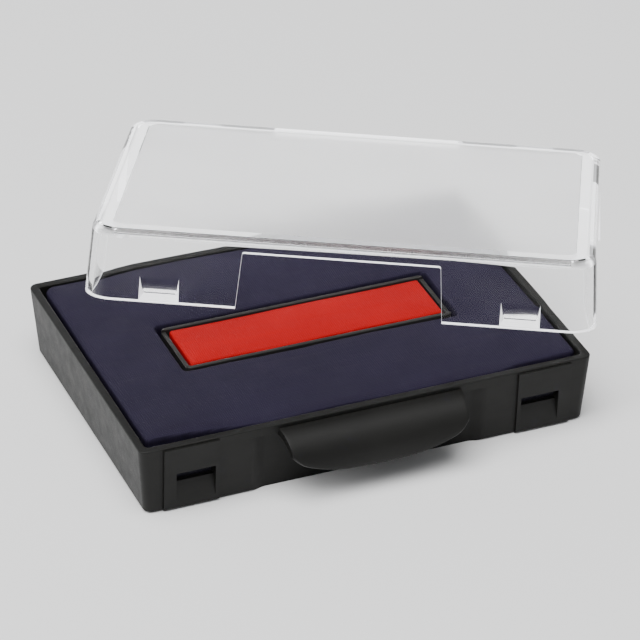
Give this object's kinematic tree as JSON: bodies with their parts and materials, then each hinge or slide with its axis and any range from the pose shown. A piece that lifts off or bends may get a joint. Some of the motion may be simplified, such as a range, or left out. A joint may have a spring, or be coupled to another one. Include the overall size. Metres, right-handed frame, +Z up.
{
  "type": "ink pad",
  "caption": "Flat moulded tray holding a two-colour stamp ink pad, a red bar framed in a dark blue field, with a clear clip-on cover lying askew on top.",
  "frame": {"origin": "centre of the tray's flat underside", "axes": "+Z up out of the pad, +X along the tray's long side, -Y towards the front wall with the finger tongue"},
  "size_m": [0.0906, 0.0877, 0.0226],
  "materials": {
    "black_plastic": "satin black moulded plastic",
    "blue_felt": "dense felt soaked with blue-violet ink",
    "blue_cloth": "fine inked cloth, dark blue-violet",
    "red_felt": "dense felt soaked with red ink",
    "red_cloth": "fine inked cloth, bright red",
    "clear_plastic": "clear moulded polystyrene with a frosted roof panel"
  },
  "bodies": {
    "pad": {"tray": "black_plastic", "divider_frame": "black_plastic", "main_pad_felt": "blue_felt", "main_pad_cloth": "blue_cloth", "small_pad_felt": "red_felt", "small_pad_cloth": "red_cloth"},
    "cover": {"cover": "clear_plastic"}
  },
  "joints": [
    {"name": "cover_lift", "type": "slide", "parent": "pad", "child": "cover", "axis": [0, 0, 1], "range_m": [0, 0.035]}
  ]
}
